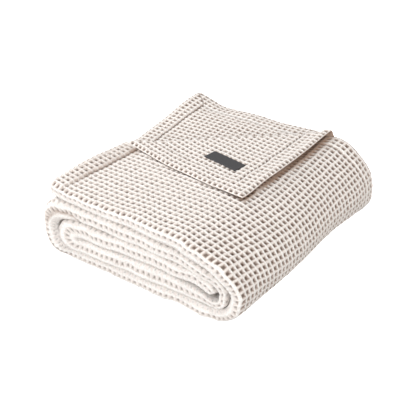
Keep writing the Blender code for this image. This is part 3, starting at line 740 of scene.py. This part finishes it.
def flap_mesh():
    cells = 29
    at = np.concatenate([[(k + f) * FLAP_CELL for f in FLAP_AT] for k in range(cells)] + [[cells * FLAP_CELL]])
    p, q = np.meshgrid(at, at, indexing="ij")
    plan = along_line(FRONT_LINE, p) + along_line(RIGHT_LINE, q) - FRONT_LINE[0]
    distance, _away = fold_distance(plan[..., 0], plan[..., 1])
    last = FOLD_PATH[0][-1]
    kept = distance > 2.0 - last + 1.0
    cell = kept[:-1, :-1] & kept[1:, :-1] & kept[:-1, 1:] & kept[1:, 1:]
    # number only the points that some cell uses
    index = -np.ones(p.shape, int)
    used = np.zeros(p.shape, bool)
    used[:-1, :-1] |= cell
    used[1:, :-1] |= cell
    used[:-1, 1:] |= cell
    used[1:, 1:] |= cell
    index[used] = np.arange(used.sum())
    count = int(used.sum())
    pu, qu = p[used], q[used]
    dist = distance[used]

    rim = np.minimum(pu, qu)
    rounding = 0.35 + 0.65 * np.sqrt(np.clip(1.0 - (1.0 - np.clip(rim / 2.6, 0, 1)) ** 2, 0, 1))
    calm = smooth(rim / 10.0)
    p2 = pu + calm * (0.55 * waves(pu, qu, 21, 44.0) + 0.25 * waves(pu, qu, 22, 17.0))
    q2 = qu + calm * (0.55 * waves(pu, qu, 23, 44.0) + 0.25 * waves(pu, qu, 24, 17.0))
    both, masks = [], []
    for sign in (1.0, -1.0):
        half = sign * CLOTH_THICK / 2.0 * rounding * np.where(dist < 2.0 - FOLD_PATH[0][57], 0.8, 1.0)
        base, arc = flap_place(p2, q2, half)
        step = 1.0
        by_p = flap_place(p2 + step, q2, half)[0] - flap_place(p2 - step, q2, half)[0]
        by_q = flap_place(p2, q2 + step, half)[0] - flap_place(p2, q2 - step, half)[0]
        normal = np.cross(by_q, by_p) * sign
        normal /= np.maximum(np.linalg.norm(normal, axis=1), 1e-6)[:, None]
        if sign > 0:
            leg = 1.0 - smooth((arc - FOLD_PATH[0][40]) / 3.0)
            rib = weave_relief(pu / FLAP_CELL + RIB_HALF, qu / FLAP_CELL + RIB_HALF, 8) * leg * smooth(rim / 3.5)
            hem = rim / FLAP_CELL - HEM_CELLS
            rise = HEM_RISE * smooth(-hem * FLAP_CELL / 3.0)
            rib = np.where(np.abs(hem) < 0.12, np.minimum(rib, -0.2), rib)
            rise -= SEAM_DEEP * np.exp(-(hem / 0.12) ** 2)
            base = base + normal * (rib + rise * leg * smooth(rim / 4.0))[:, None]
        both.append(base)
    points = np.concatenate(both)
    points[:, 2] -= SKIN
    points[:, 0] += SHIFT[0]
    points[:, 1] += SHIFT[1]
    faces = []
    for a, b in np.argwhere(cell):
        ring = (index[a, b], index[a + 1, b], index[a + 1, b + 1], index[a, b + 1])
        faces.append(ring)
        faces.append(tuple(k + count for k in ring[::-1]))
    # the rim, wherever a cell has no neighbour
    rows, cols = cell.shape
    for a, b in np.argwhere(cell):
        for (da, db), (first, second) in (((-1, 0), ((a, b), (a, b + 1))), ((1, 0), ((a + 1, b + 1), (a + 1, b))),
                                          ((0, -1), ((a + 1, b), (a, b))), ((0, 1), ((a, b + 1), (a + 1, b + 1)))):
            na, nb = a + da, b + db
            if 0 <= na < rows and 0 <= nb < cols and cell[na, nb]:
                continue
            i, j = index[first], index[second]
            faces.append((i, j, j + count, i + count))
    u, v = np.tile(pu / FLAP_CELL + RIB_HALF, 2), np.tile(qu / FLAP_CELL + RIB_HALF, 2)
    flat = np.ones(count)
    seam = np.where(pu < qu + 2.0, 0.4, 0.85) * (1.0 - 0.7 * smooth((32.0 - np.maximum(pu, qu)) / 4.0))
    # painted pit shade on both faces, and painted shade over the whole underside
    values = {"pits": (flat, 0.7 * flat), "wall_shade_strength": (0.8 * flat, 0.6 * flat), "seam": (seam, seam),
              "crease_and_shade": (0.0 * flat, 0.95 * flat)}
    return points, faces, u, v, {key: np.concatenate(pair) for key, pair in values.items()}


# ---------------------------------------------------------------------------
# Materials
# ---------------------------------------------------------------------------

class Nodes:
    def __init__(self, name):
        self.material = bpy.data.materials.new(name)
        self.material.use_nodes = True
        self.tree = self.material.node_tree
        self.shader = self.tree.nodes["Principled BSDF"]

    def node(self, kind, **settings):
        node = self.tree.nodes.new(kind)
        for key, value in settings.items():
            setattr(node, key, value)
        return node

    def link(self, source, target):
        self.tree.links.new(source, target)

    def math(self, operation, first, second=None, third=None, clamp=False):
        node = self.node("ShaderNodeMath", operation=operation, use_clamp=clamp)
        for socket, value in zip(node.inputs, (first, second, third)):
            if value is None:
                continue
            if isinstance(value, (int, float)):
                socket.default_value = value
            else:
                self.link(value, socket)
        return node.outputs[0]

    def mix(self, share, first, second, blend="MIX"):
        node = self.node("ShaderNodeMix", data_type="RGBA", blend_type=blend)
        for socket, value in ((node.inputs[0], share), (node.inputs[6], first), (node.inputs[7], second)):
            if isinstance(value, (int, float)):
                socket.default_value = value
            elif isinstance(value, tuple):
                socket.default_value = (*value, 1.0)
            else:
                self.link(value, socket)
        return node.outputs[2]


def cotton():
    n = Nodes("waffle_cotton")
    uv = n.node("ShaderNodeUVMap", uv_map="weave").outputs[0]
    split = n.node("ShaderNodeSeparateXYZ")
    n.link(uv, split.inputs[0])
    u, v = split.outputs[0], split.outputs[1]

    def rib_distance(value):
        """0 at a rib, 1 in the middle of a pit."""
        return n.math("MULTIPLY", n.math("PINGPONG", value, 0.5), 2.0)

    def ramp(value, low, high):
        step = n.node("ShaderNodeMapRange", interpolation_type="SMOOTHSTEP")
        n.link(value, step.inputs[0])
        step.inputs[1].default_value, step.inputs[2].default_value = low, high
        return step.outputs[0]

    du, dv = rib_distance(u), rib_distance(v)
    pit = n.math("MINIMUM", du, dv)
    broad = n.node("ShaderNodeTexNoise")
    broad.inputs["Scale"].default_value = 0.35
    n.link(uv, broad.inputs["Vector"])
    blotch = n.node("ShaderNodeTexNoise")
    blotch.inputs["Scale"].default_value = 1.3
    n.link(uv, blotch.inputs["Vector"])
    fuzz = n.node("ShaderNodeTexNoise")
    fuzz.inputs["Scale"].default_value = 7.0
    fuzz.inputs["Detail"].default_value = 3.0
    n.link(uv, fuzz.inputs["Vector"])
    # painted highlight and shade: the ribs round the strip are painted brighter, those across it darker and a little
    # rosier
    cream = n.mix(broad.outputs[0], (0.87, 0.845, 0.815), (0.91, 0.89, 0.865))
    rosy_rib_shade = n.mix(broad.outputs[0], (0.79, 0.72, 0.68), (0.85, 0.79, 0.75))
    crosswise_shade_mask = n.math("SUBTRACT", ramp(dv, 0.25, 0.45), ramp(du, 0.30, 0.60), clamp=True)
    cloth = n.mix(n.math("MULTIPLY", crosswise_shade_mask, 0.75), cream, rosy_rib_shade)
    # the twist of the thick yarns, seen as small darker strokes
    twist = n.node("ShaderNodeTexNoise")
    twist.inputs["Scale"].default_value = 4.6
    twist.inputs["Detail"].default_value = 1.0
    n.link(uv, twist.inputs["Vector"])
    cloth = n.mix(n.math("MULTIPLY", ramp(twist.outputs[0], 0.44, 0.62), 0.42), cloth, (0.60, 0.54, 0.505))

    def kept(name):
        return n.node("ShaderNodeAttribute", attribute_name=name, attribute_type="GEOMETRY").outputs["Fac"]

    pit_shade_strength = kept("pits")
    # painted shade in the pits: their sides are painted darker than the ribs, and their floors darker again
    uneven = n.math("MULTIPLY_ADD", blotch.outputs[0], 0.8, 0.60)
    wall_shade_strength = kept("wall_shade_strength")
    painted_wall_shade = n.math("MULTIPLY", ramp(pit, 0.22, 0.46), n.math("MULTIPLY", wall_shade_strength, pit_shade_strength), clamp=True)
    colour = n.mix(n.math("MULTIPLY", n.math("MULTIPLY", painted_wall_shade, uneven, clamp=True), 0.72), cloth,
                   (0.36, 0.262, 0.205))
    # painted shade, dark brown: in the creases, under the turned-back corner's edges, on and beside the left hem, and
    # on the corner's underside
    colour = n.mix(n.math("MULTIPLY", kept("crease_and_shade"), 0.85), colour, (0.27, 0.155, 0.092))
    # painted shade: the darkest colour, on the pit floors
    deep = n.math("MULTIPLY", ramp(n.math("MULTIPLY_ADD", wall_shade_strength, 0.22, pit), 0.63, 0.92),
                  n.math("MULTIPLY_ADD", fuzz.outputs[0], 0.8, 0.40), clamp=True)
    colour = n.mix(n.math("MULTIPLY", n.math("MULTIPLY", deep, uneven, clamp=True), pit_shade_strength), colour,
                   (0.115, 0.074, 0.055))
    # the seam of the hems, with its mitred corners
    e1, e2 = n.math("SUBTRACT", u, RIB_HALF), n.math("SUBTRACT", v, RIB_HALF)
    e3 = n.math("SUBTRACT", COL_CELLS, e2)
    edge = n.math("MINIMUM", n.math("MINIMUM", e1, e2), e3)
    seam = n.math("SUBTRACT", 1.0, ramp(n.math("ABSOLUTE", n.math("SUBTRACT", edge, HEM_CELLS)), 0.06, 0.17))
    corner = n.math("MINIMUM", n.math("ABSOLUTE", n.math("SUBTRACT", e1, e3)),
                    n.math("ABSOLUTE", n.math("SUBTRACT", e1, e2)))
    mitre = n.math("MULTIPLY", n.math("SUBTRACT", 1.0, ramp(corner, 0.06, 0.20)),
                   n.math("LESS_THAN", edge, HEM_CELLS))
    stitch = n.math("MULTIPLY_ADD", fuzz.outputs[0], 0.7, 0.5)
    line = n.math("MULTIPLY", n.math("MAXIMUM", seam, mitre), n.math("MULTIPLY", stitch, kept("seam")), clamp=True)
    colour = n.mix(line, colour, (0.20, 0.145, 0.115))
    n.link(colour, n.shader.inputs["Base Color"])
    n.shader.inputs["Roughness"].default_value = 0.92
    n.shader.inputs["Specular IOR Level"].default_value = 0.2
    n.shader.inputs["Sheen Weight"].default_value = 0.08
    n.shader.inputs["Sheen Roughness"].default_value = 0.5
    # yarns: floats along u where the rib runs along u, and along v where it runs along v
    yarn_u = n.math("SINE", n.math("MULTIPLY", v, 2 * math.pi * 12.0))
    yarn_v = n.math("SINE", n.math("MULTIPLY", u, 2 * math.pi * 12.0))
    along_u = n.math("LESS_THAN", dv, du)
    yarn = n.math("ADD", n.math("MULTIPLY", yarn_u, along_u),
                  n.math("MULTIPLY", yarn_v, n.math("SUBTRACT", 1.0, along_u)))
    height = n.math("ADD", n.math("MULTIPLY", yarn, 0.5), n.math("MULTIPLY", fuzz.outputs[0], 1.6))
    bump = n.node("ShaderNodeBump")
    bump.inputs["Strength"].default_value = 0.5
    bump.inputs["Distance"].default_value = 0.0004
    n.link(height, bump.inputs["Height"])
    n.link(bump.outputs[0], n.shader.inputs["Normal"])
    return n.material


def label_cloth():
    n = Nodes("label_weave")
    where = n.node("ShaderNodeTexCoord").outputs["Object"]
    fine = n.node("ShaderNodeTexNoise")
    fine.inputs["Scale"].default_value = 900.0
    n.link(where, fine.inputs["Vector"])
    colour = n.mix(fine.outputs[0], (0.026, 0.026, 0.03), (0.055, 0.053, 0.056))
    n.link(colour, n.shader.inputs["Base Color"])
    n.shader.inputs["Roughness"].default_value = 0.75
    bump = n.node("ShaderNodeBump")
    bump.inputs["Strength"].default_value = 0.4
    bump.inputs["Distance"].default_value = 0.0002
    n.link(fine.outputs[0], bump.inputs["Height"])
    n.link(bump.outputs[0], n.shader.inputs["Normal"])
    return n.material


def floor_paint():
    n = Nodes("floor")
    n.shader.inputs["Base Color"].default_value = (0.97, 0.97, 0.97, 1.0)
    n.shader.inputs["Roughness"].default_value = 1.0
    n.shader.inputs["Specular IOR Level"].default_value = 0.0
    n.shader.inputs["Emission Color"].default_value = (1.0, 1.0, 1.0, 1.0)
    n.shader.inputs["Emission Strength"].default_value = 1.1
    return n.material


# ---------------------------------------------------------------------------
# Label
# ---------------------------------------------------------------------------

def label_mesh():
    turn = math.radians(LABEL_TURN)
    columns, rows = 26, 10
    u, v = np.meshgrid(np.linspace(-0.5, 0.5, columns + 1), np.linspace(-0.5, 0.5, rows + 1), indexing="ij")
    u, v = u.ravel() * LABEL_LONG, v.ravel() * LABEL_SHORT
    x = LABEL_CENTRE[0] + u * math.cos(turn) - v * math.sin(turn)
    y = LABEL_CENTRE[1] + u * math.sin(turn) + v * math.cos(turn)
    z = flap_ground(x, y) + FLAP_GAP + CLOTH_THICK + LABEL_GAP + 0.5
    count = len(x)
    low = np.stack([x, y, z], axis=1)
    high = low + np.array([0.0, 0.0, 0.7])
    points = np.concatenate([high, low])
    points[:, 2] -= SKIN
    points[:, 0] += SHIFT[0]
    points[:, 1] += SHIFT[1]
    faces = []
    wide = rows + 1
    for a in range(columns):
        for b in range(rows):
            k = a * wide + b
            ring = (k, k + wide, k + wide + 1, k + 1)
            faces += [ring, tuple(i + count for i in ring[::-1])]
    edge = [a * wide for a in range(columns + 1)] + [columns * wide + b for b in range(1, rows + 1)]
    edge += [a * wide + rows for a in range(columns - 1, -1, -1)] + [b for b in range(rows - 1, 0, -1)]
    for k, i in enumerate(edge):
        j = edge[(k + 1) % len(edge)]
        faces.append((i, i + count, j + count, j))
    return points, faces


# ---------------------------------------------------------------------------
# Scene
# ---------------------------------------------------------------------------

cloth_paint = cotton()

keys, faces, plan = sheet_mesh()
points, u, v, values = sheet_points(keys, plan)
blanket = make_piece("blanket_cloth", points, faces, u, v, values)
blanket.data.materials.append(cloth_paint)

points, faces, u, v, values = flap_mesh()
corner = make_piece("blanket_corner", points, faces, u, v, values)
corner.data.materials.append(cloth_paint)

points, faces = label_mesh()
label = make_piece("woven_label", points, faces)
label.data.materials.append(label_cloth())

for piece in (blanket, corner, label):
    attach(piece, "root")
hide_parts("blanket")
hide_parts("label")

floor_mesh = bpy.data.meshes.new("floor")
floor_mesh.from_pydata([(-6, -6, 0), (6, -6, 0), (6, 6, 0), (-6, 6, 0)], [], [(0, 1, 2, 3)])
floor = bpy.data.objects.new("floor", floor_mesh)
bpy.context.scene.collection.objects.link(floor)
floor_mesh.materials.append(floor_paint())
floor.visible_diffuse = False

for piece in (blanket, corner, label):
    print(piece.name, "triangles", sum(len(p.vertices) - 2 for p in piece.data.polygons))


def lamp(name, place_at, target, size, power, colour=(1.0, 1.0, 1.0)):
    data = bpy.data.lights.new(name, "AREA")
    data.shape = "RECTANGLE"
    data.size, data.size_y = size
    data.energy = power
    data.color = colour
    obj = bpy.data.objects.new(name, data)
    bpy.context.scene.collection.objects.link(obj)
    obj.location = place_at
    obj.rotation_mode = "QUATERNION"
    obj.rotation_quaternion = (Vector(target) - Vector(place_at)).to_track_quat("-Z", "Y")
    return obj


lamp("key", (-1.75, -0.1, 1.35), (0.0, 0.0, 0.05), (0.5, 0.5), 22.0)
lamp("front", (-0.1, -1.95, 0.5), (0.0, 0.0, 0.05), (1.5, 0.7), 25.0)
lamp("side", (2.0, -0.1, 0.95), (0.0, 0.0, 0.05), (0.8, 0.6), 15.0, (1.0, 0.955, 0.915))

# soft light from above and less of it from below
world = bpy.data.worlds.new("studio")
bpy.context.scene.world = world
world.use_nodes = True
sky = world.node_tree.nodes["Background"]
heading = world.node_tree.nodes.new("ShaderNodeTexCoord")
split = world.node_tree.nodes.new("ShaderNodeSeparateXYZ")
above = world.node_tree.nodes.new("ShaderNodeMapRange")
above.inputs[1].default_value, above.inputs[2].default_value = -0.05, 0.12
above.inputs[3].default_value, above.inputs[4].default_value = 0.46, 0.80
world.node_tree.links.new(heading.outputs["Generated"], split.inputs[0])
world.node_tree.links.new(split.outputs["Z"], above.inputs[0])
world.node_tree.links.new(above.outputs[0], sky.inputs[1])
sky.inputs[0].default_value = (1.0, 0.985, 0.97, 1.0)

camera_data = bpy.data.cameras.new("camera")
camera = bpy.data.objects.new("camera", camera_data)
bpy.context.scene.collection.objects.link(camera)
camera_data.lens = 112.5
camera_data.sensor_width = 36.0
camera_data.clip_start, camera_data.clip_end = 0.05, 30.0
camera.location = (0.98108, -1.38982, 1.06401)
turn, rise = math.radians(35.5), math.radians(31.0)
back = Vector((math.sin(turn) * math.cos(rise), -math.cos(turn) * math.cos(rise), math.sin(rise)))
camera.rotation_mode = "QUATERNION"
camera.rotation_quaternion = (-back).to_track_quat("-Z", "Y")
bpy.context.scene.camera = camera

bpy.context.scene.view_settings.view_transform = "Standard"
bpy.context.scene.view_settings.look = "None"
bpy.context.scene.view_settings.exposure = 0.0

bpy.context.view_layer.update()
